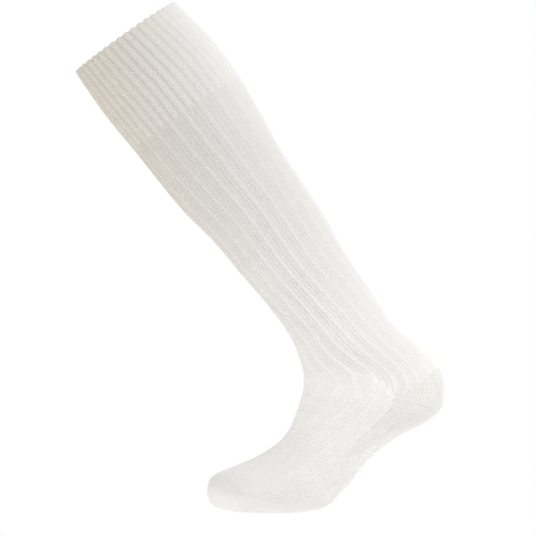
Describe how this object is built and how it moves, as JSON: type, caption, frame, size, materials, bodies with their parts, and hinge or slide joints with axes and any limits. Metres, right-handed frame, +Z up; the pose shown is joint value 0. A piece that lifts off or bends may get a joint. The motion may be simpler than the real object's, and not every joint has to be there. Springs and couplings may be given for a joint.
{
  "type": "wool sock",
  "caption": "Knee-high ribbed wool sock standing as a leg fills it: ribbed cuff, broad-ribbed leg, plain heel pocket, instep, sole and toe cap.",
  "frame": {"origin": "middle of the mouth of the cuff, where the leg goes in", "axes": "+Z up, -X towards the toe, so the leg leans up towards -X; +Y across the sock, from the side that shows to the other side"},
  "size_m": [0.3363, 0.093, 0.4647],
  "materials": {
    "ribbed_wool": "off-white ribbed wool knitting, matt with a slight fuzz",
    "plain_wool": "off-white plain wool knitting, matt with a slight fuzz"
  },
  "bodies": {
    "root": {"cuff": "ribbed_wool", "leg": "ribbed_wool", "instep": "ribbed_wool", "heel": "plain_wool", "sole": "plain_wool", "toe": "plain_wool"}
  },
  "joints": []
}
